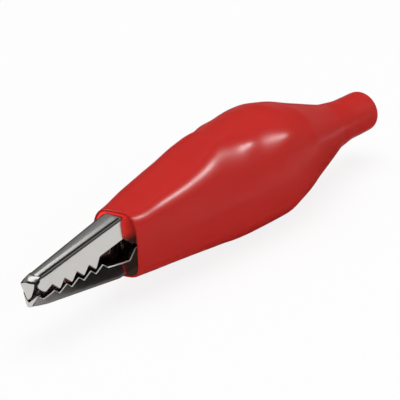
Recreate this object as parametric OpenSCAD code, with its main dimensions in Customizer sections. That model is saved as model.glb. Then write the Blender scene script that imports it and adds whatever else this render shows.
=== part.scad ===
// Insulated crocodile clip: two stamped jaws on a rivet, a torsion spring, a wire screw and a soft boot.
// The clip lies along X with its tip toward -X and its upper jaw toward +Z, standing on the boot's belly.

/* [Overall] */
// Length from the tip of the jaws to the end of the cable neck
overall_len = 54.2; // [53:0.1:57]
// Distance from the tip to the rivet that joins the jaws
pivot_x = 20.5; // [20:0.1:21]
// Distance from the tip to the end of the upper handle
handle_end_x = 36.5; // [35.5:0.1:37]

/* [Sheet steel] */
// Thickness of the plated steel sheet of both jaws
sheet = 0.45; // [0.35:0.01:0.5]
// Outer radius of the long bends of the jaws
bend_r = 0.35; // [0.25:0.01:0.45]

/* [Jaws] */
// Half height of the closed jaws where the tip's crease ends
jaw_tip_h = 1.47; // [1.3:0.01:1.6]
// Half height of the front crease
crease_h = 1.15; // [1.05:0.01:1.25]
// Length of the steeper facet from the crease to the flat of the jaw
crease_len = 0.95; // [0.6:0.01:1.4]
// Distance from the tip to the shoulder, where the closed jaws are highest
shoulder_x = 12.3; // [11.8:0.1:12.6]
// Half height of the closed jaws at the shoulder
shoulder_h = 3.0; // [2.8:0.01:3.05]
// Half height of the closed jaws over the rivet
jaw_pivot_h = 2.6; // [2.5:0.01:2.7]
// Half width of the flat at the tip
tip_half_w = 0.63; // [0.55:0.01:0.8]
// Half width of the flat at the shoulder
shoulder_half_w = 0.98; // [0.85:0.01:1.05]
// Half width across the teeth at the tip
tip_tooth_half_w = 1.0; // [0.9:0.01:1.1]
// Half width across the open throat at the shoulder
throat_half_w = 1.43; // [1.3:0.01:1.5]
// Half width of the upper jaw's flat just behind the boot's rim
upper_neck_half_w = 1.3; // [1.2:0.01:1.35]
// Half width of the lower jaw's flat just behind the boot's rim
lower_neck_half_w = 1.5; // [1.45:0.01:1.6]
// Slit between the upper lip and the side walls
lip_slit = 0.12; // [0.05:0.01:0.2]
// Reach of the upper lip's point below the clip's axis
upper_lip_reach = 0.62; // [0.5:0.01:0.7]
// Half width of the upper lip just above its point
upper_lip_half_w = 0.16; // [0.1:0.01:0.25]
// Depth of the notch of the lower lip below the clip's axis
lower_lip_notch = 0.72; // [0.65:0.01:0.8]

/* [Teeth] */
// Spacing of the teeth
tooth_pitch = 1.66; // [1.5:0.01:1.7]
// Place of the first full tooth of the upper jaw, from the tip
first_tooth_x = 3.17; // [3.0:0.01:3.3]
// Full teeth on each side of the upper jaw
tooth_count = 4; // [3:1:4]
// Depth of an upper tooth
upper_tooth_depth = 0.67; // [0.5:0.01:0.75]
// Depth of a lower tooth
lower_tooth_depth = 0.59; // [0.5:0.01:0.65]
// Height of the upper tooth tips below the clip's axis
tooth_tip_drop = 0.37; // [0.25:0.01:0.4]
// Height of the lower tooth peaks below the clip's axis
tooth_peak_drop = 0.24; // [0.15:0.01:0.3]

/* [Rivet and ears] */
// Diameter of the rivet's shank
rivet_d = 1.8; // [1.6:0.05:1.9]
// Radial clearance of the rivet in the ears
rivet_gap = 0.03; // [0.02:0.005:0.08]
// Radius of the round ears
ear_r = 2.0; // [1.8:0.05:2.05]
// Half width of the upper jaw's ears, outside
upper_ear_half_w = 1.6; // [1.55:0.01:1.6]
// Side gap between the upper jaw's ears and the lower jaw's
ear_gap = 0.05; // [0.03:0.01:0.08]
// Radius of the rivet's domed head
rivet_head_r = 1.45; // [1.3:0.05:1.6]
// Height of the rivet's domed head
rivet_head_h = 0.4; // [0.3:0.05:0.45]
// Width and height of the rim rolled over at the rivet's other end
rivet_rim = 0.3; // [0.2:0.05:0.35]

/* [Handles] */
// Half height of the handles at their first bend
handle_bend_h = 3.45; // [3.3:0.01:3.5]
// Half height of the handles at their end
handle_end_h = 3.8; // [3.7:0.01:3.85]
// Half width of the upper handle
upper_handle_half_w = 2.2; // [2.0:0.01:2.25]
// Half width of the lower handle
lower_handle_half_w = 2.5; // [2.35:0.01:2.55]
// Depth of the handles' side flanges, sheet included
flange_depth = 0.85; // [0.7:0.01:0.9]
// Radius of the handles' rounded end corners
handle_corner_r = 1.0; // [0.6:0.05:1.4]
// Length of the crimp cradle behind the lower handle
crimp_len = 2.6; // [2.0:0.1:3.0]
// Half width of the crimp cradle
crimp_half_w = 1.7; // [1.5:0.01:1.8]
// Height of the crimp wings above the cradle's floor
crimp_wing_h = 2.1; // [1.6:0.05:2.3]

/* [Spring] */
// Diameter of the spring wire
wire_d = 0.6; // [0.5:0.02:0.62]
// Mean radius of the spring's coil
coil_r = 1.4; // [1.35:0.01:1.5]
// Turns of the coil, the last half turn included
coil_turns = 2.5; // [1.5:1:2.5]
// Length of each spring arm
spring_arm = 5.6; // [4.5:0.1:6]
// Slope of the spring arms in degrees
spring_arm_slope = 9; // [7:0.5:9.5]

/* [Wire screw] */
// Distance from the tip to the wire screw
screw_x = 30; // [29.5:0.1:31]
// Thread diameter of the wire screw
screw_d = 2.0; // [1.8:0.05:2.2]
// Length of the screw under its head
screw_len = 1.45; // [1.2:0.05:1.5]
// Radius of the screw's head
screw_head_r = 1.7; // [1.5:0.05:1.8]
// Height of the screw's head
screw_head_h = 1.1; // [0.9:0.05:1.15]
// Width of the slot in the screw's head
screw_slot = 0.45; // [0.35:0.05:0.6]
// Bevel at the screw's point and round its head
screw_bevel = 0.2; // [0.1:0.05:0.25]
// Height of the tapped collar above the handle's floor
collar_h = 0.5; // [0.4:0.05:0.6]
// Wall of the tapped collar
collar_wall = 0.55; // [0.4:0.05:0.6]
// Radial clearance between the screw and its tapped hole
screw_gap = 0.03; // [0.02:0.005:0.08]

/* [Boot] */
// Distance from the tip to the boot's rim
boot_rim_x = 12.8; // [12.4:0.1:13.2]
// Half height of the rim, outside
rim_h = 3.4; // [3.36:0.01:3.6]
// Half width of the rim, outside
rim_w = 2.36; // [2.3:0.01:2.7]
// Distance from the tip to the boot's waist
waist_x = 20.9; // [20.2:0.1:21.6]
// Half height of the waist, outside
waist_h = 4.0; // [3.95:0.01:4.3]
// Half width of the waist, outside
waist_w = 3.56; // [3.5:0.01:3.9]
// Distance from the tip to the hip over the handles' bend
hip_x = 27.3; // [26.5:0.1:28]
// Half height of the hip, outside
hip_h = 5.0; // [4.9:0.01:5.2]
// Half width of the hip, outside
hip_w = 4.4; // [4.2:0.01:4.6]
// Distance from the tip to the belly, the boot's thickest place
belly_x = 36; // [35:0.1:37]
// Half height of the belly, outside
belly_h = 5.55; // [5.4:0.01:5.8]
// Half width of the belly, outside
belly_w = 4.88; // [4.8:0.01:5.2]
// Distance from the tip to the heel, where the boot closes in
heel_x = 42.8; // [42.4:0.1:43.4]
// Half height of the heel, outside
heel_h = 3.8; // [3.7:0.01:4.1]
// Half width of the heel, outside
heel_w = 3.7; // [3.6:0.01:4]
// Distance from the tip to the start of the round neck
neck_x = 50; // [49.5:0.1:50.7]
// Outer diameter of the cable neck
neck_d = 4.15; // [4:0.05:4.6]
// Diameter of the cable bore
bore_d = 2.6; // [2.2:0.05:2.7]
// Drop of the neck's centre below the clip's axis
neck_drop = 0.75; // [0.5:0.05:0.9]
// Wall of the boot's body
boot_wall = 0.7; // [0.6:0.01:0.75]
// How far the underside of the rim lies behind its top
rim_lean = 0.8; // [0:0.1:1]
// How far the boot rises above the clip's axis from its waist to its hip
waist_rise = 0.12; // [0:0.01:0.2]
// Wall of the boot at its thin rim
rim_wall = 0.32; // [0.28:0.01:0.36]
// Rounding of the neck's end
neck_round = 0.35; // [0.15:0.05:0.4]

/* [Hidden] */
$fn = 64;
hole_r = rivet_d / 2 + rivet_gap;
lower_ear_half_w = upper_ear_half_w + ear_gap + sheet;
wall_front_x = sheet + lip_slit;
// Places where the bent channels change their section
neck_front_x = boot_rim_x + 0.4;
neck_back_x = boot_rim_x + 1.8;
ear_front_x = pivot_x - ear_r - 0.5;
ear_back_x = pivot_x + 1;
bend_x = pivot_x + 6.5;
crimp_x = handle_end_x + 2;
crimp_end_x = crimp_x + crimp_len;
crimp_floor_h = neck_drop + bore_d / 2 + sheet + 0.1;
// Where the teeth end and the throat behind them
last_tooth_x = first_tooth_x + tooth_pitch * (tooth_count - 1);
upper_notch_z = upper_tooth_depth - tooth_tip_drop;
lower_notch_z = lower_tooth_depth + tooth_peak_drop;
throat_x = shoulder_x + 0.1;
upper_throat_z = shoulder_h / 3;
lower_throat_z = shoulder_h / 2;
// The lower jaw's edge steps up to this distance below the axis, where its walls lie outside the upper jaw's
lower_step_z = 0.35;
// The upper jaw's edge stays just above that step until its ears begin
upper_step_z = lower_step_z - 0.1;
// Flat width of a tooth's point
tooth_land = 0.1;
// The wire screw stands on the collar in the lower handle's floor
screw_floor_h = handle_height(screw_x) - sheet;
screw_seat_h = screw_floor_h - collar_h;
// Height of the clip's axis over the surface that the boot's belly lies on
axis_z = belly_h;
// Size of a cutting body that is larger than the clip's section
big = 20;
// Squareness of the boot's sections: 2 is an ellipse, more comes nearer to a box with rounded corners
rim_squareness = 2.9;
waist_squareness = 3.6;
hip_squareness = 2.9;
belly_squareness = 2.4;
heel_squareness = 2.1;
neck_squareness = 2;
// Fineness of the boot and of the spring
boot_sides = 40;
boot_steps = 5;
wire_sides = 10;
coil_steps = 16;

// Half height of a handle's outer face at a distance x from the tip
function handle_height(x) =
    handle_bend_h + (handle_end_h - handle_bend_h) * (x - bend_x) / (handle_end_x - bend_x);

// Half width of a wall at a height z: a at the flat, which is h high, and b on the clip's axis
function wall_y(a, b, h, z) = a + (b - a) * (h - z) / h;

// Round bend in the corner c between two straight faces that leave it along u and v
function bend(c, u, v, r) =
    let (p = c + u * r, q = c + v * r)
    [for (k = [0:3]) let (s = k / 3) p * (1 - s) * (1 - s) + c * 2 * s * (1 - s) + q * s * s];

// One side of a bent channel's section, from its flat down to its edge: row = [x, h, a, b, depth]
function channel_side(row, inset, r) =
    let (h = row[1],
         a = row[2],
         b = row[3],
         low = h - row[4],
         top = [a - inset, h - inset],
         foot = [wall_y(a, b, h, low) - inset, low],
         down = (foot - top) / norm(foot - top))
    concat(bend(top, [-1, 0], down, r), [foot]);

// The face of a bent channel's section, from one edge over the flat to the other
function channel_face(row, inset, r) =
    let (side = channel_side(row, inset, r))
    concat(
        [for (k = [len(side) - 1:-1:0]) [row[0], -side[k][0], side[k][1]]],
        [for (p = side) [row[0], p[0], p[1]]]
    );

// The whole section of the channel: along its outer face and back along its inner face
function channel_section(row) =
    let (outer = channel_face(row, 0, bend_r),
         inner = channel_face(row, sheet, bend_r * 0.4))
    concat(outer, [for (k = [len(inner) - 1:-1:0]) inner[k]]);

// Faces that close an end of a channel, one across the sheet for each stretch of its section
function channel_cap(n) = [
    for (k = [0:n / 2 - 2])
        [k, k + 1, n - 2 - k, n - 1 - k]
];

// Rows of a jaw's channel, from the tip to the end of its handle: neck = half widths behind the boot's rim
function jaw_rows(neck, ear_w, handle_w) =
    let (deep = ear_r + 0.2,
         fall = (shoulder_h - jaw_pivot_h) / 4)
    [
        [0, crease_h, tip_half_w, tip_tooth_half_w, crease_h + 1],
        [crease_len, jaw_tip_h, tip_half_w, tip_tooth_half_w, jaw_tip_h + 1],
        [shoulder_x, shoulder_h, shoulder_half_w, throat_half_w, shoulder_h + 1],
        [neck_front_x, shoulder_h - fall, shoulder_half_w, throat_half_w, shoulder_h + 1],
        [neck_back_x, jaw_pivot_h + fall, neck[0], neck[1], jaw_pivot_h + deep],
        [ear_front_x, jaw_pivot_h, ear_w, ear_w, jaw_pivot_h + deep],
        [ear_back_x, jaw_pivot_h, ear_w, ear_w, jaw_pivot_h + deep],
        [bend_x, handle_bend_h, (ear_w + handle_w) / 2, (ear_w + handle_w) / 2, handle_bend_h],
        [handle_end_x, handle_end_h, handle_w, handle_w, flange_depth * 2]
    ];

// Rows of the crimp cradle behind the lower handle
function crimp_rows() = [
    for (x = [crimp_x, crimp_end_x])
        [x, crimp_floor_h, crimp_half_w, crimp_half_w, crimp_wing_h]
];

// Side view of the round-eared handle half of a jaw, from the ear to the handle's end
function handle_edge() = [
    [pivot_x, 0],
    [pivot_x + ear_r * 0.98, ear_r / 5],
    [pivot_x + ear_r * 1.85, jaw_pivot_h - sheet * 0.7],
    [bend_x, handle_bend_h - flange_depth],
    [handle_end_x - 0.6, handle_end_h - flange_depth]
];

// Side view of the upper jaw, above its toothed edge
function upper_side() = concat(
    [
        [-1, 6],
        [-1, crease_h - 0.25],
        [wall_front_x, crease_h - 0.25],
        [wall_front_x, crease_h / 2],
        [first_tooth_x - 1.1 * tooth_pitch, -tooth_tip_drop * 0.2]
    ],
    [
        for (k = [0:tooth_count - 1])
            let (x = first_tooth_x + tooth_pitch * k)
            each [
                [x - tooth_pitch / 2, upper_notch_z],
                [x - tooth_land / 2, -tooth_tip_drop],
                [x + tooth_land / 2, -tooth_tip_drop]
            ]
    ],
    [
        [last_tooth_x + tooth_pitch * 0.42, upper_notch_z + 0.2],
        [throat_x, upper_throat_z],
        [neck_front_x + 0.2, upper_throat_z * 0.22],
        [neck_back_x, -upper_step_z],
        [ear_front_x, -upper_step_z],
        [pivot_x - ear_r * 0.95, -ear_r * 0.72]
    ],
    handle_edge(),
    [[handle_end_x, handle_end_h - flange_depth + 0.5], [handle_end_x, 6]]
);

// Side view of the lower jaw, turned over so that its flat is on top like the upper jaw's
function lower_side() = concat(
    [
        [-1, 6],
        [-1, tooth_peak_drop / 2],
        [sheet, tooth_peak_drop / 2],
        [first_tooth_x - 1.06 * tooth_pitch, lower_notch_z - 0.07]
    ],
    [
        for (k = [0:tooth_count])
            let (x = first_tooth_x + tooth_pitch * (k - 0.5))
            each [
                [x - tooth_land / 2, tooth_peak_drop],
                [x + tooth_land / 2, tooth_peak_drop],
                [x + tooth_pitch / 2, lower_notch_z]
            ]
    ],
    [
        [neck_front_x + 0.2, lower_throat_z],
        [neck_back_x - 0.55, lower_step_z * 1.4],
        [neck_back_x, lower_step_z],
        [ear_front_x, lower_step_z],
        [pivot_x - ear_r * 0.97, ear_r / 4]
    ],
    handle_edge(),
    [
        [crimp_x - 0.5, crimp_floor_h - sheet],
        [crimp_x + 0.2, crimp_floor_h - crimp_wing_h],
        [crimp_end_x, crimp_floor_h - crimp_wing_h],
        [crimp_end_x, 6]
    ]
);

// Rows of the boot: place, half height, half width, squareness of the section, drop of its centre, wall
boot_rows = [
    [boot_rim_x, rim_h, rim_w, rim_squareness, 0, rim_wall],
    [waist_x, waist_h, waist_w, waist_squareness, -waist_rise, boot_wall],
    [hip_x, hip_h, hip_w, hip_squareness, -waist_rise, boot_wall],
    [belly_x, belly_h, belly_w, belly_squareness, 0, boot_wall],
    [heel_x, heel_h, heel_w, heel_squareness, neck_drop * 0.2, boot_wall],
    [neck_x, neck_d / 2, neck_d / 2, neck_squareness, neck_drop, boot_wall]
];

// Slope of column c of the boot's rows at row i, level at a highest or lowest place
function row_slope(i, c) =
    let (n = len(boot_rows) - 1,
         before = i == 0 ? 0 : (boot_rows[i][c] - boot_rows[i - 1][c]) / (boot_rows[i][0] - boot_rows[i - 1][0]),
         after = i == n ? 0 : (boot_rows[i + 1][c] - boot_rows[i][c]) / (boot_rows[i + 1][0] - boot_rows[i][0]))
    i == 0 ? after * 0.5 : before * after <= 0 ? 0 : 2 * before * after / (before + after);

// Column c of the boot between row i and the next, at the share s of the way, on a smooth curve
function row_value(i, c, s) =
    let (p = boot_rows[i][c],
         q = boot_rows[i + 1][c],
         step = boot_rows[i + 1][0] - boot_rows[i][0])
    p * (1 + 2 * s) * (1 - s) * (1 - s)
        + q * s * s * (3 - 2 * s)
        + row_slope(i, c) * step * s * (1 - s) * (1 - s)
        - row_slope(i + 1, c) * step * s * s * (1 - s);

// Closed ring across the clip at x, with half height h, half width w, squareness n and the drop of its centre;
// its underside lies back by lean
function ring(x, h, w, n, drop, lean = 0) = [
    for (k = [0:boot_sides - 1])
        let (c = cos(-360 * k / boot_sides), t = sin(-360 * k / boot_sides))
        [x + lean * pow(max(-t, 0), 2), w * sign(c) * pow(abs(c), 2 / n), h * sign(t) * pow(abs(t), 2 / n) - drop]
];

// Rings of the boot's body from its rim to its neck, drawn in by the share k of the wall
function body_rings(k) = [
    for (i = [0:len(boot_rows) - 2], j = [0:boot_steps])
        if (j > 0 || i == 0)
            let (s = j / boot_steps,
                 x = boot_rows[i][0] + (boot_rows[i + 1][0] - boot_rows[i][0]) * s,
                 wall = k * row_value(i, 5, s),
                 lean = i == 0 ? rim_lean * pow(1 - s, 2) : 0)
            ring(x, row_value(i, 1, s) - wall, row_value(i, 2, s) - wall, row_value(i, 3, s), row_value(i, 4, s), lean)
];

// Faces that close an end of the boot, in strips across it, so that a leaning rim stays smooth
function boot_cap() =
    let (half = boot_sides / 2, n = boot_sides)
    concat(
        [for (k = [0:half / 2 - 2]) [k, k + 1, half - 1 - k, half - k]],
        [[half / 2 - 1, half / 2, half / 2 + 1]],
        [for (k = [0:half / 2 - 2]) [half + k, half + k + 1, n - 1 - k, (n - k) % n]],
        [[half + half / 2 - 1, half + half / 2, half + half / 2 + 1]]
    );

// The boot's inside, run on in front of its rim so that it opens the rim
function inside_rings() =
    let (rings = body_rings(1))
    concat([[for (p = rings[0]) p - [rim_lean + 1, 0, 0]]], rings);

// Rings of the rounded edge at the neck's end
function neck_rings() =
    let (r = neck_d / 2)
    [
        for (p = [[neck_round, 0], [neck_round * 0.3, neck_round * 0.3], [0, neck_round]])
            ring(overall_len - p[0], r - p[1], r - p[1], 2, neck_drop)
    ];

// Centre line of the spring: in along its lower arm, round the coil and out along its upper arm
function spring_path() =
    let (start = -90 - spring_arm_slope,
         turned = 360 * coil_turns - 2 * spring_arm_slope,
         steps = ceil(turned / 360 * coil_steps),
         pitch = wire_d * 1.03,
         half = pitch * coil_turns / 2,
         arm = [spring_arm * cos(spring_arm_slope), 0, spring_arm * sin(spring_arm_slope)],
         coil = [
             for (k = [0:steps])
                 let (a = start - turned * k / steps)
                 [coil_r * cos(a), -half + 2 * half * k / steps, coil_r * sin(a)]
         ])
    concat(
        [coil[0] + [arm[0], 0, -arm[2]]],
        coil,
        [coil[steps] + arm]
    );

// Skins rings that all have the same number of points, and closes both ends with the faces in cap
module skin(rings, cap) {
    n = len(rings[0]);
    m = len(rings);
    sides = [
        for (i = [0:m - 2], k = [0:n - 1])
            let (a = i * n + k, b = i * n + (k + 1) % n)
            each [[a, b, b + n], [a, b + n, a + n]]
    ];
    faces = is_undef(cap) ? [[for (k = [0:n - 1]) k]] : cap;
    first = [for (f = faces) [for (k = [len(f) - 1:-1:0]) f[k]]];
    last = [for (f = faces) [for (k = f) (m - 1) * n + k]];
    polyhedron([for (ring = rings) each ring], concat(sides, first, last), convexity = 8);
}

// Extrudes a side view, drawn as (x, z), across the whole width
module across(points) {
    rotate([90, 0, 0])
        linear_extrude(height = big, center = true)
            polygon(points);
}

// Extrudes a front view, drawn as (y, z), over one sheet thickness behind the tip
module lip(points) {
    rotate([90, 0, 90])
        linear_extrude(height = sheet)
            polygon(points);
}

// Round bar across the width, on the pivot's axis
module pivot_bar(r, length) {
    translate([pivot_x, 0, 0])
        rotate([90, 0, 0])
            cylinder(r = r, h = length, center = true);
}

// Bent channel of a jaw, cut to its side view, with round ears
module jaw_channel(rows, side) {
    sections = [for (row = rows) channel_section(row)];
    intersection() {
        skin(sections, channel_cap(len(sections[0])));
        union() {
            across(side);
            pivot_bar(ear_r, big);
        }
    }
}

// Moves a piece from the clip's own frame, at the tip, to its place on the ground
module placed() {
    translate([-overall_len / 2, 0, axis_z])
        children();
}

// Lower jaw: toothed channel with a notched lip, the outer ears, the handle, its collar and crimp cradle
module lower_jaw() {
    rows = concat(jaw_rows([lower_neck_half_w, lower_ear_half_w], lower_ear_half_w, lower_handle_half_w), crimp_rows());
    color("silver")
        placed()
            difference() {
                union() {
                    mirror([0, 0, 1]) {
                        jaw_channel(rows, lower_side());
                        lip([
                            [-tip_half_w + 0.1, crease_h - 0.05],
                            [tip_half_w - 0.1, crease_h - 0.05],
                            [tip_half_w + 0.05, crease_h - 0.35],
                            [tip_tooth_half_w - 0.14, 0.1],
                            [0.12, lower_lip_notch],
                            [-0.12, lower_lip_notch],
                            [-tip_tooth_half_w + 0.14, 0.1],
                            [-tip_half_w - 0.05, crease_h - 0.35]
                        ]);
                    }
                    translate([screw_x, 0, -screw_floor_h - sheet / 2])
                        cylinder(r = screw_d / 2 + collar_wall, h = collar_h + sheet / 2);
                }
                pivot_bar(hole_r, big);
                translate([screw_x, 0, -screw_floor_h - 2])
                    cylinder(r = screw_d / 2 + screw_gap, h = 4);
            }
}

// Upper jaw: toothed channel with a pointed lip, the inner ears and the thumb handle
module upper_jaw() {
    w = upper_handle_half_w;
    r = handle_corner_r;
    color("gainsboro")
        placed()
            difference() {
                union() {
                    intersection() {
                        jaw_channel(jaw_rows([upper_neck_half_w, upper_neck_half_w + 0.1], upper_ear_half_w, w), upper_side());
                        translate([0, 0, -big / 2])
                            linear_extrude(height = big)
                                hull() {
                                    translate([-1, -w]) square([1, 2 * w]);
                                    translate([handle_end_x - r, w - r]) circle(r = r);
                                    translate([handle_end_x - r, r - w]) circle(r = r);
                                }
                    }
                    lip([
                        [-tip_half_w + 0.1, crease_h - 0.05],
                        [tip_half_w - 0.1, crease_h - 0.05],
                        [tip_half_w + 0.08, crease_h - 0.35],
                        [upper_lip_half_w, 0.12 - upper_lip_reach],
                        [0, -upper_lip_reach],
                        [-upper_lip_half_w, 0.12 - upper_lip_reach],
                        [-tip_half_w - 0.08, crease_h - 0.35]
                    ]);
                }
                pivot_bar(hole_r, big);
            }
}

// Rivet with a domed head on one side and a rolled rim round a shallow hollow on the other
module pivot_rivet() {
    r = rivet_d / 2;
    half = lower_ear_half_w;
    tail = -half - rivet_rim;
    dome = [
        for (a = [15:15:90])
            [rivet_head_r * cos(a), half + rivet_head_h * sin(a)]
    ];
    color("lightgray")
        placed()
            translate([pivot_x, 0, 0])
                rotate([90, 0, 0])
                    rotate_extrude()
                        polygon(concat(
                            [[0, tail * 0.9], [r * 0.6, tail * 0.9], [r * 0.9, tail]],
                            [[r + rivet_rim / 2, tail], [r + rivet_rim, tail + rivet_rim / 2]],
                            [[r + rivet_rim, -half], [r, -half], [r, half], [rivet_head_r, half]],
                            dome
                        ));
}

// Torsion spring: its coil lies round the rivet and its arms press the handles apart
module jaw_spring() {
    path = spring_path();
    n = len(path);
    color("dimgray")
        placed()
            translate([pivot_x, 0, 0])
                skin([
                    for (i = [0:n - 1])
                        let (t = path[min(i + 1, n - 1)] - path[max(i - 1, 0)],
                             side = cross(t, [0, 1, 0]) / norm(cross(t, [0, 1, 0])),
                             up = cross(side, t) / norm(t))
                        [
                            for (k = [0:wire_sides - 1])
                                let (a = 360 * k / wire_sides)
                                path[i] + wire_d / 2 * (side * cos(a) + up * sin(a))
                        ]
                ]);
}

// Slotted screw that clamps the wire on the lower handle
module clamp_screw() {
    r = screw_d / 2;
    color("lightgray")
        placed()
            translate([screw_x, 0, -screw_seat_h])
                difference() {
                    rotate_extrude()
                        polygon([
                            [0, -screw_len],
                            [r - screw_bevel, -screw_len],
                            [r, -screw_len + screw_bevel],
                            [r, 0],
                            [screw_head_r, 0],
                            [screw_head_r, screw_head_h - screw_bevel],
                            [screw_head_r - screw_bevel, screw_head_h],
                            [0, screw_head_h]
                        ]);
                    translate([0, 0, screw_head_h])
                        cube([big, screw_slot, 1], center = true);
                }
}

// Soft boot: hollow body from the rim over the waist, hip and belly to the round neck with its cable bore
module boot() {
    bore_start = neck_x - 1;
    color("firebrick")
        placed()
            difference() {
                skin(concat(body_rings(0), neck_rings()), boot_cap());
                skin(inside_rings(), boot_cap());
                translate([bore_start, 0, -neck_drop])
                    rotate([0, 90, 0])
                        cylinder(r = bore_d / 2, h = overall_len - bore_start + 1);
            }
}

lower_jaw();
upper_jaw();
pivot_rivet();
jaw_spring();
clamp_screw();
boot();
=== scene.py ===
"""Crocodile clip with a soft boot: plated steel jaws, rivet, spring and wire screw in glossy red PVC.

Lengths here are millimetres of the clip's own frame, with X from the jaws' tip and Z from the clip's axis.
metres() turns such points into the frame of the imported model.
"""
import math

import bmesh
import bpy
import numpy as np
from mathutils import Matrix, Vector


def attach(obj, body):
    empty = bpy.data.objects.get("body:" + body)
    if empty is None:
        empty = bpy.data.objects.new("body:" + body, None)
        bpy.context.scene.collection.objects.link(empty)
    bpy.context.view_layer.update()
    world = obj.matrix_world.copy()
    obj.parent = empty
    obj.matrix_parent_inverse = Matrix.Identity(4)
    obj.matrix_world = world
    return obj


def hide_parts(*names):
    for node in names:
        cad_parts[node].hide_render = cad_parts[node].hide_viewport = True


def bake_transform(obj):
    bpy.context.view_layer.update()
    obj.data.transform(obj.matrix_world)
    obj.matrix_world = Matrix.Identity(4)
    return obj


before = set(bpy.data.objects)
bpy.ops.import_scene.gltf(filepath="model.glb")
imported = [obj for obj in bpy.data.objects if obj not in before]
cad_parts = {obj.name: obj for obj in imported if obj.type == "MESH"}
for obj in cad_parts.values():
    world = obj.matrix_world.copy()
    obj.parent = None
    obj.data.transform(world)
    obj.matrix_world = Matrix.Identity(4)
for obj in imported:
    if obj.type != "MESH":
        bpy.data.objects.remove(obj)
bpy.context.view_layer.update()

MM = 0.001
CLIP_LEN = 54.2
AXIS_HEIGHT = 5.55
PIVOT_X = 20.5
SHEET = 0.45
RIM_X = 12.8


def metres(points):
    """Points of the clip's own frame, in millimetres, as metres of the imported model's frame."""
    return (np.asarray(points, float) + (-CLIP_LEN / 2, 0, AXIS_HEIGHT)) * MM


# Meshes

# Points closer than this, in metres, become one
WELD = 1e-7
# Finishes of a stamping, by number: its plated faces, its sheared edges and their corners
FACE, CUT, CORNER = 0, 1, 2


def mesh_piece(name, points, faces, finishes=None):
    """A piece from points in the clip's frame and faces that list their corners.

    finishes number each face's material.
    """
    mesh = bpy.data.meshes.new(name)
    mesh.from_pydata(metres(points).tolist(), [], faces)
    if finishes is not None:
        mesh.polygons.foreach_set("material_index", finishes)
    tidy = bmesh.new()
    tidy.from_mesh(mesh)
    bmesh.ops.remove_doubles(tidy, verts=tidy.verts, dist=WELD)
    bmesh.ops.recalc_face_normals(tidy, faces=tidy.faces)
    tidy.to_mesh(mesh)
    tidy.free()
    mesh.polygons.foreach_set("use_smooth", [True] * len(mesh.polygons))
    piece = bpy.data.objects.new(name, mesh)
    bpy.context.scene.collection.objects.link(piece)
    return piece


def grid_faces(rows, columns, closed=False, looped=False):
    """Quads of a grid of points in rows; closed joins its last column to its first, looped its last row."""
    faces = []
    for i in range(rows if looped else rows - 1):
        for k in range(columns if closed else columns - 1):
            a, b = i * columns, (i + 1) % rows * columns
            k_next = (k + 1) % columns
            faces.append([a + k, a + k_next, b + k_next, b + k])
    return faces


def broken_edges(outer, inner, width):
    """Grids of a sheet's two faces with the outer corners of its long edges broken by width."""
    def toward(start, end):
        step = end - start
        return start + step * (width / np.linalg.norm(step, axis=1, keepdims=True))

    first, last = outer[:, 0], outer[:, -1]
    face = [toward(first, inner[:, 0]), toward(first, outer[:, 1])]
    face += [outer[:, k] for k in range(1, outer.shape[1] - 1)]
    face += [toward(last, outer[:, -2]), toward(last, inner[:, -1])]
    back = [inner[:, k] for k in [0] + list(range(inner.shape[1])) + [-1]]
    return np.stack(face, 1), np.stack(back, 1)


def thick_sheet(outer, inner, cut=CUT, broken=0.0):
    """Closed skin of a sheet, from matching grids of points on its two faces.

    cut is the finish of its edges; broken is the width of its outer corners, where they are broken.
    """
    if broken:
        outer, inner = broken_edges(outer, inner, broken)
    rows, columns = outer.shape[:2]
    count = rows * columns
    corner_strips = [CORNER if broken and k in (0, columns - 2) else FACE for k in range(columns - 1)]
    points = np.concatenate([outer.reshape(-1, 3), inner.reshape(-1, 3)])
    faces = grid_faces(rows, columns)
    faces += [[count + k for k in reversed(face)] for face in grid_faces(rows, columns)]
    ring = list(range(columns))
    ring += [i * columns + columns - 1 for i in range(1, rows)]
    ring += [(rows - 1) * columns + k for k in range(columns - 2, -1, -1)]
    ring += [i * columns for i in range(rows - 2, 0, -1)]
    finishes = corner_strips * (rows - 1) + [FACE] * ((rows - 1) * (columns - 1)) + [cut] * len(ring)
    faces += [[b, a, count + a, count + b] for a, b in zip(ring, ring[1:] + ring[:1])]
    return points, faces, finishes


def joined(parts):
    """Several (points, faces, finishes) as one."""
    points, faces, finishes, start = [], [], [], 0
    for part_points, part_faces, part_finishes in parts:
        points.append(np.asarray(part_points, float).reshape(-1, 3))
        faces += [[start + k for k in face] for face in part_faces]
        finishes += list(part_finishes)
        start += len(points[-1])
    return np.concatenate(points), faces, finishes


def turned_ring(profile, centre, sides=64):
    """An upright turned ring: profile lists (radius, height) round its section."""
    turns = [2 * math.pi * k / sides for k in range(sides)]
    points = [
        (centre[0] + radius * math.cos(t), centre[1] + radius * math.sin(t), height)
        for radius, height in profile
        for t in turns
    ]
    faces = grid_faces(len(profile), sides, closed=True, looped=True)
    return points, faces, [FACE] * len(faces)


def crisp(piece):
    """Keeps the edges of a piece crisp where its faces turn by more than 30 degrees, and the rest smooth."""
    piece.data.set_sharp_from_angle(angle=math.radians(30))


# The most of a leg between two corners that the rounding of one corner takes up
LEG_SHARE = 0.45


def soft_path(points, reach):
    """A line through points whose corners are rounded off within reach of each corner, and within its legs."""
    points = [np.array(p, float) for p in points]
    path = [points[0]]
    for before, corner, after in zip(points, points[1:], points[2:]):
        back = min(reach, np.linalg.norm(before - corner) * LEG_SHARE)
        on = min(reach, np.linalg.norm(after - corner) * LEG_SHARE)
        start = corner + (before - corner) / np.linalg.norm(before - corner) * back
        end = corner + (after - corner) / np.linalg.norm(after - corner) * on
        for s in (0, 0.33, 0.67, 1):
            path.append(start * (1 - s) ** 2 + corner * 2 * s * (1 - s) + end * s * s)
    path.append(points[-1])
    return np.array(path)


# Jaws

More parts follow.
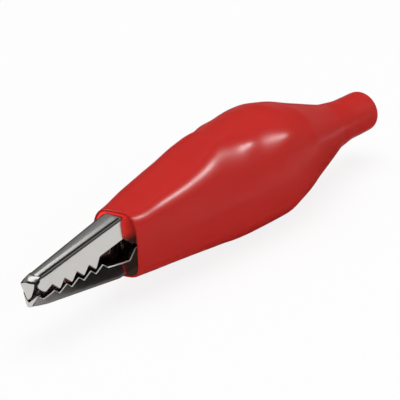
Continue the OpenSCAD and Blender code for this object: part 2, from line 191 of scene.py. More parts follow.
# Upper teeth: their spacing, the place of the first one's tip, their number, and heights of root and tip
PITCH = 1.66
FIRST_TOOTH = 3.17
TEETH = 4
UPPER_ROOT, UPPER_TIP = 0.3, -0.37
# The lower teeth stand this much further back than midway between the upper ones; heights below the axis
LOWER_TEETH_BACK = 0.3
LOWER_TIP, LOWER_ROOT = 0.34, 0.93
# Half width of a tooth's blunt tip
BLUNT = 0.04
# Radii of the channel's bend, outside and inside, and the least wall and half flat left beside it
BEND_R = 0.35
BEND_R_INSIDE = 0.14
LEAST_WALL = 0.12
LEAST_FLAT = 0.02
# Front of the upper jaw's walls, and the end of the slit between them and the lip
WALL_FRONT = 0.62
SLIT_END = 0.95
# Radius of the ears round the rivet
EAR_R = 2.0
# Width of the corners that tumbling has broken
BROKEN = 0.09
# Ends of both handles and of the crimp cradle, and the place of the wire screw
HANDLE_END = 36.5
CRADLE_END = 41.1
SCREW_X = 30.0
# Behind this place the channel's corners are rounded along the clip
ROUNDED_FROM = 13.2


def jaw_rows(neck, ear, handle):
    """Rows of a jaw's channel: place, half height, half width of the flat, half width of the wall on the axis.

    neck gives both half widths behind the boot's rim, ear and handle the half width further back.
    """
    return np.array([
        (0.0, 1.15, 0.5, 0.66),
        (0.95, 1.47, 0.63, 0.9),
        (2.2, 1.64, 0.67, 1.05),
        (12.3, 3.0, 0.98, 1.43),
        (14.5, 2.75, 0.98, 1.43),
        (15.8, 2.66, *neck),
        (18.0, 2.6, ear, ear),
        (21.5, 2.6, ear, ear),
        (27.0, 3.45, (ear + handle) / 2, (ear + handle) / 2),
        (HANDLE_END, 3.8, handle, handle),
    ])


def row_at(rows, x):
    """The channel's row at x, averaged a little along the clip so that its corners are round."""
    reach = 0.4 if x > ROUNDED_FROM else 0.08
    places = np.clip(np.linspace(x - reach, x + reach, 7), rows[0, 0], rows[-1, 0])
    return [np.interp(places, rows[:, 0], rows[:, c]).mean() for c in (1, 2, 3)]


def half_section(x, row, edge, inset, radius, crown):
    """Half of the channel's section at x, from the middle of its flat over the bend to the wall's edge.

    row is the channel's row there, inset draws the section in, and crown raises the middle of the flat.
    """
    h, a, b = row

    def wall(z):
        return a + (b - a) * (h - z) / h

    top = np.array((max(a - inset, LEAST_FLAT), h - inset))
    foot = np.array((wall(edge) - inset, edge))
    down = (foot - top) / np.linalg.norm(foot - top)
    bend_in = top - (radius, 0)
    bend_out = top + down * radius
    flat = [(bend_in[0] * s, bend_in[1] + crown * (1 - s * s)) for s in np.linspace(0, 1, 6)[:-1]]
    bend = [
        bend_in * (1 - s) ** 2 + top * 2 * s * (1 - s) + bend_out * s * s
        for s in np.linspace(0, 1, 8)
    ]
    side = [bend_out + (foot - bend_out) * s for s in np.linspace(0, 1, 8)[1:]]
    return [(x, y, z) for y, z in flat + [tuple(p) for p in bend + side]]


def channel(rows, edge_at, stations, crown):
    """The bent channel of a jaw as a thick sheet: edge_at gives the height of its wall's edge at x."""
    faces = []
    for inset, radius in ((0, BEND_R), (SHEET, BEND_R_INSIDE)):
        grid = []
        for x in stations:
            row = row_at(rows, x)
            edge = min(edge_at(x), row[0] - BEND_R - LEAST_WALL)
            bend = min(radius, max(row[1] - inset, LEAST_FLAT) * 0.9)
            half = half_section(x, row, edge, inset, bend, crown if inset == 0 else 0)
            grid.append([(px, -y, z) for px, y, z in reversed(half[1:])] + half)
        faces.append(np.array(grid))
    return thick_sheet(*faces, broken=BROKEN)


def stations_of(path, start, end, step=0.35):
    """Places along the clip where the edge path turns, with more between them, and none twice."""
    places = [x for x, _ in path if start < x < end]
    places += list(np.arange(start, end, step)) + [start, end]
    places = sorted(places)
    kept = [places[0]]
    for x in places[1:]:
        if x - kept[-1] > 0.004:
            kept.append(x)
    return kept


# Side view of a jaw's edge from its ear to the flange at the handle's end
EAR_AND_HANDLE = [(PIVOT_X + 1.96, 0.4), (24.2, 2.28), (27.0, 2.6), (35.9, 2.95), (HANDLE_END, 3.35)]


def ear_edge(path, x):
    """Height of a jaw's edge at x: its side view, or the round ear where that reaches further."""
    edge = np.interp(x, path[:, 0], path[:, 1])
    across = EAR_R ** 2 - (x - PIVOT_X) ** 2
    return min(edge, -math.sqrt(across)) if across > 0 else edge


def cheeks(rows, edge_at, stations, top_at):
    """The two walls of a channel without its flat: top_at and edge_at give the heights of their edges at x."""
    parts = []
    for side in (1, -1):
        faces = []
        for inset in (0, SHEET):
            grid = []
            for x in stations:
                h, a, b = row_at(rows, x)
                heights = np.linspace(top_at(x), edge_at(x), 8)
                grid.append([(x, side * (a + (b - a) * (h - z) / h - inset), z) for z in heights])
            faces.append(np.array(grid))
        parts.append(thick_sheet(*faces, broken=BROKEN))
    return joined(parts)


def lip(front, sides, crest, skew, columns=11):
    """A lip at the tip from rows of (place, half width, height).

    crest bows its middle forward and sides its edges back.
    skew lists how far each row's far corner sags; it leans forward by half of that.
    """
    outer, inner = [], []
    for (place, half_width, height), lean in zip(front, skew):
        row_out, row_in = [], []
        for s in np.linspace(-1, 1, columns):
            far = max(s, 0) ** 1.5 * lean
            back = sides * abs(s) ** 3 - crest * (1 - s * s) - 0.5 * far
            row_out.append((place + back, half_width * s, height - far))
            row_in.append((place + back + SHEET, half_width * s * 0.96, height - far))
        outer.append(row_out)
        inner.append(row_in)
    return thick_sheet(np.array(outer), np.array(inner))


def notched_lip(front, half_width, peak, notch, foot, columns=25, rows=7):
    """The lower jaw's V-shaped lip, with two peaks, a notch between them and a narrow foot.

    Like the channel that it closes, it is made upside down.
    """
    faces = []
    for depth, share in ((0, 1), (SHEET, 0.95)):
        grid = []
        for s in np.linspace(-1, 1, columns):
            edge = notch + (peak - notch) * abs(s) ** 1.1
            outline = foot + (peak + 0.03 - foot) * max((abs(s) - 0.22) / 0.78, 0) ** 1.15
            bow = 0.28 * s * s
            grid.append([
                (front + depth + bow, half_width * share * s, edge + (outline - edge) * t)
                for t in np.linspace(0, 1, rows)
            ])
        faces.append(np.array(grid))
    return thick_sheet(*faces, cut=FACE)


def turned_over(part):
    """A part of the upper jaw's side turned over to the lower jaw's."""
    points, faces, finishes = part
    return np.asarray(points, float) * (1, 1, -1), faces, finishes


def make_upper_jaw():
    """One stamping: toothed channel with a pointed front lip, inner ears and thumb handle."""
    teeth = []
    for k in range(TEETH):
        x = FIRST_TOOTH + PITCH * k
        teeth += [(x - PITCH / 2, UPPER_ROOT), (x - BLUNT, UPPER_TIP), (x + BLUNT, UPPER_TIP)]
    front_edge = [(0, 0.95), (WALL_FRONT, 0.95), (WALL_FRONT + 0.02, 0.5), (1.34, -0.1)]
    back_edge = [
        (8.86, 0.5), (12.4, 1.0), (13.4, 0.22), (14.6, -0.25), (18.0, -0.25), (18.6, -1.44), (PIVOT_X, 0.0),
    ]
    path = soft_path(front_edge + teeth + back_edge + EAR_AND_HANDLE, 0.12)
    rows = jaw_rows((1.3, 1.4), 1.6, 2.2)
    stations = stations_of(path, SLIT_END, HANDLE_END)
    body = channel(rows, lambda x: ear_edge(path, x), stations, 0.025)
    front_walls = cheeks(
        rows, lambda x: ear_edge(path, x), stations_of(path, WALL_FRONT, SLIT_END + 0.05, 0.08),
        lambda x: np.interp(x, (WALL_FRONT, SLIT_END), (0.8, 1.15)))
    # The facet in front of the walls and the pointed lip bent down from it, which sits a little askew
    front = lip([
        (0.95, 0.6, 1.44), (0.6, 0.64, 1.335), (0.3, 0.68, 1.24), (0.06, 0.7, 1.165), (0.0, 0.71, 1.1),
        (0.0, 0.7, 0.98), (0.0, 0.66, 0.7), (0.02, 0.53, 0.3), (0.05, 0.37, -0.1),
        (0.08, 0.22, -0.38), (0.09, 0.13, -0.48), (0.1, 0.03, -0.53),
    ], 0.1, 0.05, (0, 0.03, 0.1, 0.2, 0.22, 0.2, 0.12, 0.04, 0, 0, 0, 0))
    return mesh_piece("upper_jaw_stamping", *joined([body, front_walls, front]))


def make_lower_jaw():
    """One stamping: toothed channel with a notched front lip, outer ears, handle, tapped collar and crimp cradle."""
    teeth = []
    for k in range(TEETH + 1):
        x = FIRST_TOOTH + PITCH * (k - 0.5) + LOWER_TEETH_BACK
        teeth += [(x - BLUNT, LOWER_TIP), (x + BLUNT, LOWER_TIP), (x + PITCH / 2, LOWER_ROOT)]
    front_edge = [(0, 0.12), (0.45, 0.12), (1.41, 0.76)]
    back_edge = [(13.4, 1.49), (14.05, 0.49), (14.6, 0.35), (18.0, 0.35), (18.56, 0.5), (PIVOT_X, 0.0)]
    crimp_edge = [(38.0, 2.15), (38.7, 0.5), (CRADLE_END, 0.5)]
    path = soft_path(front_edge + teeth + back_edge + EAR_AND_HANDLE[:-1] + crimp_edge, 0.1)
    rows = np.concatenate([
        [(0.0, 1.2, 0.16, 0.72), (0.4, 1.31, 0.24, 0.82), (0.95, 1.45, 0.45, 0.93)],
        jaw_rows((1.5, 2.1), 2.1, 2.5)[2:],
        [(38.5, 2.6, 1.7, 1.7), (CRADLE_END, 2.6, 1.7, 1.7)],
    ])
    stations = stations_of(path, 0.45, CRADLE_END)
    body = channel(rows, lambda x: ear_edge(path, x), stations, 0.0)
    front = notched_lip(0.2, 0.8, 0.12, 0.86, 1.3)
    # The tapped collar is drawn up from the handle's floor round the wire screw
    collar = turned_ring(
        [(1.03, 3.3), (1.55, 3.3), (1.55, 2.66), (1.5, 2.61), (1.08, 2.61), (1.03, 2.66)], (SCREW_X, 0))
    return mesh_piece("lower_jaw_stamping", *turned_over(joined([body, front, collar])))


upper_jaw = make_upper_jaw()
lower_jaw = make_lower_jaw()
crisp(upper_jaw)
crisp(lower_jaw)
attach(upper_jaw, "upper_clip")
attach(lower_jaw, "lower_clip")
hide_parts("upper_jaw")
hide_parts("lower_jaw")

# Spring

WIRE_D = 0.6
# Radius of the coil's centre line, its turns and its turns' spacing
COIL_R = 1.4
COIL_TURNS = 2.5
COIL_PITCH = WIRE_D * 1.03
# Length of both arms, and the degrees by which they slope away from the clip's axis
ARM_LEN = 5.6
ARM_SLOPE = 9
# Degrees between two points of the coil's centre line
COIL_STEP = 9


def spring_line():
    """Centre line of the torsion spring: in along its lower arm, round the rivet and out along its upper arm."""
    start = -90 - ARM_SLOPE
    turned = 360 * COIL_TURNS - 2 * ARM_SLOPE
    half = COIL_PITCH * COIL_TURNS / 2
    steps = round(turned / COIL_STEP)
    coil = []
    for k in range(steps + 1):
        angle = math.radians(start - turned * k / steps)
        coil.append((COIL_R * math.cos(angle), -half + 2 * half * k / steps, COIL_R * math.sin(angle)))
    slope = math.radians(ARM_SLOPE)
    arm = np.array((math.cos(slope), 0, math.sin(slope))) * ARM_LEN
    shares = np.linspace(1, 0, 12)[:-1]
    line = [np.array(coil[0]) + arm * (s, 0, -s) for s in shares]
    line += [np.array(point) for point in coil]
    line += [np.array(coil[-1]) + arm * s for s in shares[::-1]]
    return np.array(line) + (PIVOT_X, 0, 0)


def make_spring(sides=16):
    """Round wire along the spring's line, with both ends cut square and their edges broken."""
    line = spring_line()
    along = np.gradient(line, axis=0)
    along /= np.linalg.norm(along, axis=1, keepdims=True)
    side = np.cross(along, (0, 1.0, 0))
    side /= np.linalg.norm(side, axis=1, keepdims=True)
    third = np.cross(side, along)
    turns = np.linspace(0, 2 * math.pi, sides + 1)[:-1]
    r = WIRE_D / 2
    last = len(line) - 1
    # Each ring: its point of the line, its radius and its shift along the wire
    rings = [(0, 0.0, 0.02), (0, r * 0.85, 0.0), (0, r, 0.06)]
    rings += [(k, r, 0.0) for k in range(1, last)]
    rings += [(last, r, -0.06), (last, r * 0.85, 0.0), (last, 0.0, -0.02)]
    points = [
        line[k] + along[k] * shift + radius * (side[k] * math.cos(t) + third[k] * math.sin(t))
        for k, radius, shift in rings
        for t in turns
    ]
    return mesh_piece("torsion_spring", points, grid_faces(len(rings), sides, closed=True))


spring = make_spring()
crisp(spring)
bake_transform(spring)
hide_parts("jaw_spring")

# Boot

# Rows of the boot: place, height of its centre, half height, half width, squareness of the section, and the shares
# of its width that it loses toward its top, where it is tented over the upper handle, and toward its bottom
BOOT_ROWS = np.array([
    (12.8, -0.09, 3.38, 2.34, 3.60, 0.08, 0.02),
    (14.3, -0.12, 3.43, 2.56, 3.50, 0.00, 0.04),
    (16.3, 0.02, 3.74, 2.86, 3.50, 0.02, 0.06),
    (18.3, 0.10, 3.97, 3.14, 3.50, 0.06, 0.08),
    (20.3, 0.16, 4.23, 3.42, 3.50, 0.10, 0.10),
    (22.3, 0.25, 4.53, 3.68, 3.50, 0.17, 0.12),
    (24.3, 0.42, 4.95, 3.94, 3.40, 0.24, 0.12),
    (26.3, 0.56, 5.35, 4.20, 3.10, 0.34, 0.10),
    (28.3, 0.31, 5.47, 4.42, 2.80, 0.26, 0.08),
    (30.3, 0.21, 5.59, 4.60, 2.60, 0.18, 0.06),
    (33.3, 0.18, 5.67, 4.84, 2.45, 0.08, 0.03),
    (36.3, 0.06, 5.60, 4.90, 2.40, 0.02, 0.00),
    (39.3, 0.06, 4.83, 4.60, 2.30, 0.00, 0.00),
    (41.3, -0.04, 4.16, 4.10, 2.20, 0.00, 0.00),
    (43.3, -0.20, 3.62, 3.60, 2.10, 0.00, 0.00),
    (45.3, -0.35, 3.05, 3.05, 2.05, 0.00, 0.00),
    (47.3, -0.44, 2.46, 2.50, 2.00, 0.00, 0.00),
    (50.3, -0.60, 2.09, 2.08, 2.00, 0.00, 0.00),
    (52.3, -0.72, 2.09, 2.06, 2.00, 0.00, 0.00),
    (54.2, -0.79, 2.06, 2.05, 2.00, 0.00, 0.00),
])
BORE_R = 1.3
# Rounding of the neck's outer end, and the breaking of the bore's edge
NECK_ROUND = 0.35
BORE_BREAK = 0.1
# The rim's underside and near side lie further back by these, its top further forward, and the lean fades behind it
RIM_UNDER_BACK, RIM_TOP_FORWARD, RIM_NEAR_BACK = 0.82, 0.14, 0.33
RIM_HALF_W = 2.34
RIM_FADE = 2.5
# The boot's rows are averaged over this much either side of a place, at so many points
SMOOTHING = 1.0
SMOOTHING_POINTS = 17


def boot_row(x):
    """The boot's row at x, on a line that is smoothed along the clip so that the gloss runs without kinks."""
    places = np.linspace(x - SMOOTHING, x + SMOOTHING, SMOOTHING_POINTS)
    weights = np.cos(np.linspace(-1, 1, SMOOTHING_POINTS) * math.pi / 2) ** 2
    first, second = BOOT_ROWS[0], BOOT_ROWS[1]
    values = []
    for c in range(1, 7):
        near = np.interp(places, BOOT_ROWS[:, 0], BOOT_ROWS[:, c])
        near = near + np.minimum(places - first[0], 0) * (second[c] - first[c]) / (second[0] - first[0])
        values.append(float((near * weights).sum() / weights.sum()))
    return values


# Where the handle's bend and its end push the sleeve out: place, half width, height, swell and spread
SWELLS = ((30.0, 2.9, 4.7, 0.14, 1.2), (34.9, 3.9, 3.9, 0.18, 1.5))
# Shares of a swell that go sideways and up
SWELL_ASIDE, SWELL_UP = 0.75, 0.66


def boot_ring(x, inset, place=None, sides=144):
    """Ring of the boot at x, drawn in by inset; place moves the ring itself along the clip."""
    centre, h, w, n, top_taper, bottom_taper = boot_row(x)
    ring = []
    for k in range(sides):
        t = 2 * math.pi * k / sides
        c, s = math.cos(t), math.sin(t)
        height = math.copysign(abs(s) ** (2 / n), s)
        width = math.copysign(abs(c) ** (2 / n), c)
        y = (w - inset) * width * (1 - (top_taper if height > 0 else bottom_taper) * abs(height))
        near_rim = math.exp(-max(x - RIM_X, 0) / RIM_FADE)
        lean = RIM_UNDER_BACK * max(-height, 0) ** 2 - RIM_TOP_FORWARD * max(height, 0) ** 2
        lean = (lean - RIM_NEAR_BACK * y / RIM_HALF_W) * near_rim
        z = centre + (h - inset) * height
        for along, across, up, swell, spread in SWELLS:
            out = swell * math.exp(-((x - along) ** 2 + (abs(y) - across) ** 2 + (z - up) ** 2) / spread)
            y += math.copysign(out * SWELL_ASIDE, y)
            z += out * SWELL_UP
        ring.append(((x if place is None else place) + lean, y, z))
    return ring


def make_boot():
    """One soft sleeve: a thin rounded rim, waist, hip, belly, heel and round neck, and its inside up to the bore."""
    def wall(x):
        """Thickness of the sleeve at x."""
        return float(np.interp(x, (RIM_X, 13.6, 18.3, 47.3, 50.3), (0.2, 0.32, 0.7, 0.7, 0.76)))

    rim = wall(RIM_X)
    end = CLIP_LEN
    rings = []
    for turn in np.linspace(0.5, -0.5, 7):
        angle = math.pi * turn
        place = RIM_X + rim / 2 - rim / 2 * math.cos(angle)
        rings.append(boot_ring(RIM_X, rim / 2 + rim / 2 * math.sin(angle), place))
    rings += [boot_ring(x, 0) for x in np.arange(RIM_X + 0.4, end - 0.4, 0.4)]
    for turn in np.linspace(0, 1, 6):
        angle = math.pi / 2 * turn
        place = end - NECK_ROUND * (1 - math.sin(angle))
        rings.append(boot_ring(end, NECK_ROUND * (1 - math.cos(angle)), place))
    outside = len(rings)
    neck = boot_row(end)[1]
    rings.append(boot_ring(end, neck - BORE_R - BORE_BREAK))
    rings.append(boot_ring(end, neck - BORE_R, end - BORE_BREAK))
    for x in np.arange(end - 1, RIM_X + 0.5, -0.8):
        rings.append(boot_ring(x, min(wall(x), boot_row(x)[1] - BORE_R)))
    points = np.array(rings)
    faces = grid_faces(len(rings), points.shape[1], closed=True, looped=True)
    # The rings after the rounded end of the neck are the inside
    finishes = [1 if k // points.shape[1] >= outside else 0 for k in range(len(faces))]
    return mesh_piece("boot_sleeve", points.reshape(-1, 3), faces, finishes)


boot = make_boot()
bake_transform(boot)
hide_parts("boot")

# Materials

def linear(colour):
    """An sRGB hex value as a linear colour."""
    parts = [int(colour[k:k + 2], 16) / 255 for k in (1, 3, 5)]
    return tuple(p / 12.92 if p <= 0.04045 else ((p + 0.055) / 1.055) ** 2.4 for p in parts) + (1.0,)


def add(tree, kind, settings=None, **links):
    """Adds a node: settings are its own values, links its inputs' values or the sockets that feed them."""
    node = tree.nodes.new(kind)
    for name, value in (settings or {}).items():
        setattr(node, name, value)
    for name, value in links.items():
        socket = node.inputs[int(name[1:])] if name[1:].isdigit() else node.inputs[name.replace("_", " ")]
        if isinstance(value, bpy.types.NodeSocket):
            tree.links.new(value, socket)
        else:
            socket.default_value = value
    return node


def surface(name, **settings):
    """A material with a Principled surface; returns the material, its nodes and its shader."""
    material = bpy.data.materials.new(name)
    material.use_nodes = True
    tree = material.node_tree
    shader = tree.nodes["Principled BSDF"]
    for socket, value in settings.items():
        shader.inputs[socket.replace("_", " ")].default_value = value
    return material, tree, shader


def dress(piece, *materials):
    """Gives a piece its materials, in the order of its finishes."""
    for k, material in enumerate(materials):
        if k < len(piece.data.materials):
            piece.data.materials[k] = material
        else:
            piece.data.materials.append(material)


def nickel_plated_sheet():
    """Bright nickel plate over rolled steel: mirror gloss with a faint grain along the strip."""
    material, tree, shader = surface(
        "nickel_plated_rolled_steel", Base_Color=linear("#CFCDC9"), Metallic=1.0, Roughness=0.14)
    place = add(tree, "ShaderNodeTexCoord")
    # Rolling lines 0.08 mm apart run along the strip
    stretched = add(tree, "ShaderNodeMapping", Vector=place.outputs["Object"], Scale=(300, 12500, 12500))
    grain = add(tree, "ShaderNodeTexNoise", Vector=stretched.outputs[0], Scale=1.0, Detail=3.0)
    rough = add(tree, "ShaderNodeMapRange", Value=grain.outputs["Fac"], To_Min=0.1, To_Max=0.22)
    tree.links.new(rough.outputs[0], shader.inputs["Roughness"])
    bump = add(tree, "ShaderNodeBump", Strength=0.25, Distance=2e-6, Height=grain.outputs["Fac"])
    tree.links.new(bump.outputs[0], shader.inputs["Normal"])
    return material


def sheared_edge_painted_gap_shade():
    """The sheet's sheared edge: rough torn steel that the plate hardly covers, its colour darkened further as painted
    shade of the gaps between the teeth.
    """
    material, tree, shader = surface(
        "sheared_edge_painted_gap_shade", Base_Color=linear("#45423F"), Metallic=1.0, Roughness=0.45)
    place = add(tree, "ShaderNodeTexCoord")
    # Tear marks about 0.1 mm apart
    tears = add(tree, "ShaderNodeTexNoise", Vector=place.outputs["Object"], Scale=9000.0, Detail=2.0)
    bump = add(tree, "ShaderNodeBump", Strength=0.3, Distance=4e-6, Height=tears.outputs["Fac"])
    tree.links.new(bump.outputs[0], shader.inputs["Normal"])
    return material


def red_boot_pvc():
    """Soft PVC, dip moulded: even red with a wet gloss, a very faint orange peel and a little depth."""
    material, tree, shader = surface(
        "soft_pvc_dip_moulded", Roughness=0.31, IOR=1.45, Specular_IOR_Level=0.1,
        Subsurface_Weight=0.25, Subsurface_Scale=0.0006)
    shader.inputs["Subsurface Radius"].default_value = (1.0, 0.25, 0.15)
    place = add(tree, "ShaderNodeTexCoord")
    # Orange peel about 0.9 mm across
    peel = add(tree, "ShaderNodeTexNoise", Vector=place.outputs["Object"], Scale=1100.0, Detail=2.0)
    bump = add(tree, "ShaderNodeBump", Strength=0.1, Distance=2e-5, Height=peel.outputs["Fac"])
    tree.links.new(bump.outputs[0], shader.inputs["Normal"])
    # The pigment varies slightly over centimetres
    cloud = add(tree, "ShaderNodeTexNoise", Vector=place.outputs["Object"], Scale=120.0, Detail=2.0)
    tint = add(
        tree, "ShaderNodeMix", {"data_type": "RGBA"},
        Factor=cloud.outputs["Fac"], _6=linear("#C32A25"), _7=linear("#CA2D28"))
    tree.links.new(tint.outputs[2], shader.inputs["Base Color"])
    return material


def corner_painted_highlight():
    """The broken corner of a sheared edge as a painted highlight line: pale satin, half metallic, so that it shows
    bright from every side.
    """
    material, tree, shader = surface(
        "lower_jaw_corner_painted_highlight", Base_Color=linear("#EDEBE8"), Metallic=0.35, Roughness=0.4)
    place = add(tree, "ShaderNodeTexCoord")
    # Rub marks about 0.2 mm apart
    marks = add(tree, "ShaderNodeTexNoise", Vector=place.outputs["Object"], Scale=5000.0, Detail=2.0)
    rough = add(tree, "ShaderNodeMapRange", Value=marks.outputs["Fac"], To_Min=0.3, To_Max=0.5)
    tree.links.new(rough.outputs[0], shader.inputs["Roughness"])
    return material


def boot_inside_painted_light():
    """The boot's matt inside: red above, with a painted glow that stands in for light shining through the wall near
    the rim, and painted shade with a faint painted brown glow below the jaws' axis.
    """
    material, tree, shader = surface("soft_pvc_inside_painted_glow_and_shade", Roughness=0.6, Specular_IOR_Level=0.1)
    place = add(tree, "ShaderNodeTexCoord")
    # Painted glow: emission stands in for light from above that shines through the wall, up to 3.5 mm behind the rim
    # and above the jaws
    along = add(tree, "ShaderNodeSeparateXYZ", Vector=place.outputs["Object"])
    rim, axis = metres((RIM_X, 0, 0))[[0, 2]]
    painted_glow_near_rim = add(
        tree, "ShaderNodeMapRange", Value=along.outputs["X"],
        From_Min=rim, From_Max=rim + 3.5 * MM, To_Min=1.7, To_Max=0.0)
    lit = add(
        tree, "ShaderNodeMapRange", Value=along.outputs["Z"],
        From_Min=axis + 0.3 * MM, From_Max=axis + 1.1 * MM, To_Min=0.0, To_Max=1.0)
    painted_glow_strength = add(
        tree, "ShaderNodeMix", {"data_type": "FLOAT"}, Factor=lit.outputs[0], _2=1.0, _3=painted_glow_near_rim.outputs[0])
    tree.links.new(painted_glow_strength.outputs[0], shader.inputs["Emission Strength"])
    # Below the axis, a faint painted brown glow stands in for the light that the jaws throw on it
    painted_glow_colour = add(
        tree, "ShaderNodeMix", {"data_type": "RGBA"},
        Factor=lit.outputs[0], _6=linear("#33241F"), _7=linear("#D0302C"))
    tree.links.new(painted_glow_colour.outputs[2], shader.inputs["Emission Color"])
    # Painted shade: the base colour is near black below the jaws' axis and dark red above it
    tint = add(
        tree, "ShaderNodeMix", {"data_type": "RGBA"},
        Factor=lit.outputs[0], _6=linear("#1E0A08"), _7=linear("#7A1613"))
    tree.links.new(tint.outputs[2], shader.inputs["Base Color"])
    return material


def drawn_spring_wire():
    """Spring steel wire, drawn and oiled: grey with draw lines along it that smear its gloss."""
    material, tree, shader = surface(
        "drawn_spring_steel_wire", Base_Color=linear("#8C8B8A"), Metallic=1.0, Roughness=0.3)
    place = add(tree, "ShaderNodeTexCoord")
    # Draw marks about 0.05 mm apart
    marks = add(tree, "ShaderNodeTexNoise", Vector=place.outputs["Object"], Scale=20000.0, Detail=2.0)
    rough = add(tree, "ShaderNodeMapRange", Value=marks.outputs["Fac"], To_Min=0.22, To_Max=0.42)
    tree.links.new(rough.outputs[0], shader.inputs["Roughness"])
    return material


def zinc_plated_screw():
    """Turned and zinc plated screw: bluish bright with turning rings round its own axis."""
    material, tree, shader = surface(
        "turned_zinc_plated_steel", Base_Color=linear("#C3C8CC"), Metallic=1.0, Roughness=0.22)
    place = add(tree, "ShaderNodeTexCoord")
    # Turning rings 0.1 mm apart along the screw
    rings = add(tree, "ShaderNodeMapping", Vector=place.outputs["Object"], Scale=(0, 0, 10000))
    ridge = add(tree, "ShaderNodeTexNoise", Vector=rings.outputs[0], Scale=1.0, Detail=1.0)
    bump = add(tree, "ShaderNodeBump", Strength=0.4, Distance=5e-6, Height=ridge.outputs["Fac"])
    tree.links.new(bump.outputs[0], shader.inputs["Normal"])
    return material


def nickel_plated_rivet():
    """Headed rivet, nickel plated: bright with fine hammer dimples from closing it."""
    material, tree, shader = surface(
        "headed_nickel_plated_rivet", Base_Color=linear("#C9C6C0"), Metallic=1.0, Roughness=0.18)
    place = add(tree, "ShaderNodeTexCoord")
    # Dimples about 0.3 mm across
    dimples = add(tree, "ShaderNodeTexVoronoi", Vector=place.outputs["Object"], Scale=3300.0)
    bump = add(tree, "ShaderNodeBump", Strength=0.3, Distance=8e-6, Height=dimples.outputs["Distance"])
    tree.links.new(bump.outputs[0], shader.inputs["Normal"])
    return material


plated = nickel_plated_sheet()
sheared = sheared_edge_painted_gap_shade()
painted_highlight_corner = corner_painted_highlight()
# Only the lower jaw's corners carry the painted highlight line; the upper jaw's are plated like its faces
dress(upper_jaw, plated, sheared, plated)
dress(lower_jaw, plated, sheared, painted_highlight_corner)
dress(boot, red_boot_pvc(), boot_inside_painted_light())
dress(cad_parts["pivot_rivet"], nickel_plated_rivet())
dress(spring, drawn_spring_wire())
dress(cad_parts["clamp_screw"], zinc_plated_screw())

# Floor, light and camera

FLOOR_HALF = 1500
FLOOR_CORNERS = ((-1, -1), (1, -1), (1, 1), (-1, 1))
# Shares of the floor that the camera and the gloss see as pure white
FLOOR_SEEN, FLOOR_MIRRORED = 0.85, 0.2

floor_points = [(FLOOR_HALF * x, FLOOR_HALF * y, -AXIS_HEIGHT) for x, y in FLOOR_CORNERS]
floor = mesh_piece("floor", floor_points, [[0, 1, 2, 3]])
paper, paper_tree, paper_shader = surface(
    "white_paper_floor", Base_Color=linear("#FAFAFA"), Roughness=0.9, Specular_IOR_Level=0.0)
# Lit paper that the camera sees as nearly pure white, with the clip's soft shadow left on it
seen = add(paper_tree, "ShaderNodeLightPath")
in_view = add(
    paper_tree, "ShaderNodeMath", {"operation": "MULTIPLY"}, _0=seen.outputs["Is Camera Ray"], _1=FLOOR_SEEN)
# The plate and the wet gloss mirror some of that white too
share = add(
    paper_tree, "ShaderNodeMath", {"operation": "MULTIPLY_ADD"},
    _0=seen.outputs["Is Glossy Ray"], _1=FLOOR_MIRRORED, _2=in_view.outputs[0])
glow = add(paper_tree, "ShaderNodeEmission", Color=(1, 1, 1, 1), Strength=1.0)
lit_paper = add(
    paper_tree, "ShaderNodeMixShader", Fac=share.outputs[0], _1=paper_shader.outputs[0], _2=glow.outputs[0])
paper_tree.links.new(lit_paper.outputs[0], paper_tree.nodes["Material Output"].inputs["Surface"])
dress(floor, paper)


def lamp(name, towards, distance, size, power, only=None, gloss=True, diffuse=True):
    """A soft box that looks at the clip from the direction towards, distance and size in millimetres.

    gloss and diffuse say which light it gives; only lists the pieces that it lights, where it isn't all.
    """
    data = bpy.data.lights.new(name, "AREA")
    data.shape = "RECTANGLE"
    data.size, data.size_y = size[0] * MM, size[1] * MM
    data.energy = power
    light = bpy.data.objects.new(name, data)
    bpy.context.scene.collection.objects.link(light)
    direction = Vector(towards).normalized()
    light.location = Vector(metres((CLIP_LEN / 2, 0, 0))) + direction * distance * MM
    light.rotation_mode = "QUATERNION"
    light.rotation_quaternion = direction.to_track_quat("Z", "Y")
    light.visible_glossy, light.visible_diffuse = gloss, diffuse
    if only:
        lit = bpy.data.collections.new(name + "_lights")
        for piece in only:
            lit.objects.link(piece)
        light.light_linking.receiver_collection = lit


lamp("key_box", (0.05, 0.05, 1.0), 400, (420, 420), 1.7, gloss=False)
lamp("fill_box", (-0.45, -0.8, 0.4), 500, (300, 300), 0.5, gloss=False)
lamp("facet_box", (0.361, 0.522, 0.773), 400, (140, 120), 0.075, only=[upper_jaw], diffuse=False)
lamp("ridge_box", (0.522, -0.668, 0.53), 400, (60, 60), 2.7, only=[boot], diffuse=False)
lamp("rim_box", (-0.4, 0.52, 0.75), 400, (80, 80), 3.0, only=[boot], diffuse=False)
lamp("edge_box", (0.755, -0.38, 0.503), 400, (180, 150), 0.3, only=[lower_jaw], diffuse=False)


# Height of the cards, just above the floor, and the length over which their grey changes
CARD_HEIGHT = -5.3
CARD_FADE = 9.0


def painted_reflection_card(name, corners, start_grey, end_grey=0.02):
    """A dark card flat on the floor that only mirror gloss sees, so that it paints dark reflections into the clip;
    its grey changes behind its first corner.
    """
    card = mesh_piece(name, [(x, y, CARD_HEIGHT) for x, y in corners], [[0, 1, 2, 3]])
    card.visible_camera = card.visible_diffuse = card.visible_shadow = card.visible_transmission = False
    paint, tree, shader = surface(name, Roughness=0.9, Specular_IOR_Level=0.0)
    place = add(tree, "ShaderNodeTexCoord")
    along = add(tree, "ShaderNodeSeparateXYZ", Vector=place.outputs["Object"])
    start = metres((corners[0][0], 0, 0))[0]
    fade = add(
        tree, "ShaderNodeMapRange", Value=along.outputs["X"],
        From_Min=start, From_Max=start + CARD_FADE * MM, To_Min=start_grey, To_Max=end_grey)
    tree.links.new(fade.outputs[0], shader.inputs["Base Color"])
    dress(card, paint)
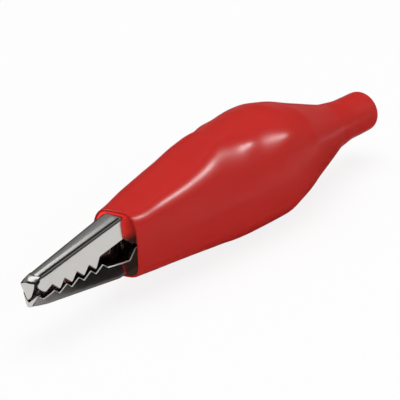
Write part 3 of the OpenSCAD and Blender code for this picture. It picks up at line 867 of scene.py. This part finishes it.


# Painted reflections: the near two darken the lower jaw's wall, the black one down to the grey one's edge; the far
# two outline the boot
painted_reflection_card("painted_reflection_card_near", [(1.5, -13), (70, -13), (70, -0.3), (1.5, -3.72)], 0.35)
painted_reflection_card("painted_reflection_grey_card_near", [(1.5, -3.72), (70, -0.3), (70, 0.1), (1.5, 0.1)], 0.4, 0.25)
painted_reflection_card("painted_reflection_card_far", [(20, 8), (170, 8), (170, 120), (20, 120)], 0.02)
painted_reflection_card("painted_reflection_card_behind", [(80, -120), (400, -120), (400, 8), (80, 8)], 0.1)

world = bpy.data.worlds.new("studio")
bpy.context.scene.world = world
world.use_nodes = True
sky = world.node_tree
sky_place = add(sky, "ShaderNodeTexCoord")
sky_height = add(sky, "ShaderNodeSeparateXYZ", Vector=sky_place.outputs["Generated"])
sky_bands = add(sky, "ShaderNodeValToRGB", Fac=sky_height.outputs["Z"])
# Grey of the sky by height: dim at the floor's edge, then dark, a paler band that the jaws' flats mirror, and dark
bands = sky_bands.color_ramp.elements
bands[0].position, bands[0].color = 0.05, (0.15, 0.15, 0.15, 1)
bands[1].position, bands[1].color = 0.76, (0.03, 0.03, 0.03, 1)
for position, level in ((0.13, 0.03), (0.38, 0.03), (0.48, 0.24), (0.7, 0.24)):
    band = bands.new(position)
    band.color = (level, level, level, 1)
# The camera itself sees plain white behind the floor
sky_seen = add(sky, "ShaderNodeLightPath")
sky_colour = add(
    sky, "ShaderNodeMix", {"data_type": "RGBA"},
    Factor=sky_seen.outputs["Is Camera Ray"], _6=sky_bands.outputs["Color"], _7=(1, 1, 1, 1))
sky.links.new(sky_colour.outputs[2], sky.nodes["Background"].inputs["Color"])

# The camera stands where the photograph was taken from: its place was fitted to the jaws and the boot's outline
CAMERA_AZIMUTH, CAMERA_ELEVATION = math.radians(-55.364), math.radians(23.374)
CAMERA_DISTANCE = 280.0
# Scale at the fitted point of the clip, its place on the axis, and its pixels right and up of the frame's middle
SCALE_PX_PER_MM = 10.75
FITTED_X = 27.8
FITTED_RIGHT, FITTED_UP = 10.92, 10.6
FRAME_PX = 400
SENSOR_MM = 36
back = Vector((
    math.sin(CAMERA_AZIMUTH) * math.cos(CAMERA_ELEVATION),
    -math.cos(CAMERA_AZIMUTH) * math.cos(CAMERA_ELEVATION),
    math.sin(CAMERA_ELEVATION),
))
right = Vector((math.cos(CAMERA_AZIMUTH), math.sin(CAMERA_AZIMUTH), 0))
up = back.cross(right)
camera = bpy.data.objects.new("camera", bpy.data.cameras.new("camera"))
bpy.context.scene.collection.objects.link(camera)
camera.data.sensor_width = SENSOR_MM
camera.data.lens = SENSOR_MM * SCALE_PX_PER_MM * CAMERA_DISTANCE / FRAME_PX
camera.data.clip_start, camera.data.clip_end = 0.01, 10
fitted = Vector(metres((FITTED_X, 0, 0)))
eye = fitted + back * CAMERA_DISTANCE * MM
aim = fitted - right * (FITTED_RIGHT / SCALE_PX_PER_MM * MM) - up * (FITTED_UP / SCALE_PX_PER_MM * MM)
camera.location = eye
camera.rotation_mode = "QUATERNION"
camera.rotation_quaternion = (eye - aim).to_track_quat("Z", "Y")
bpy.context.scene.camera = camera
bpy.context.scene.view_settings.view_transform = "Standard"
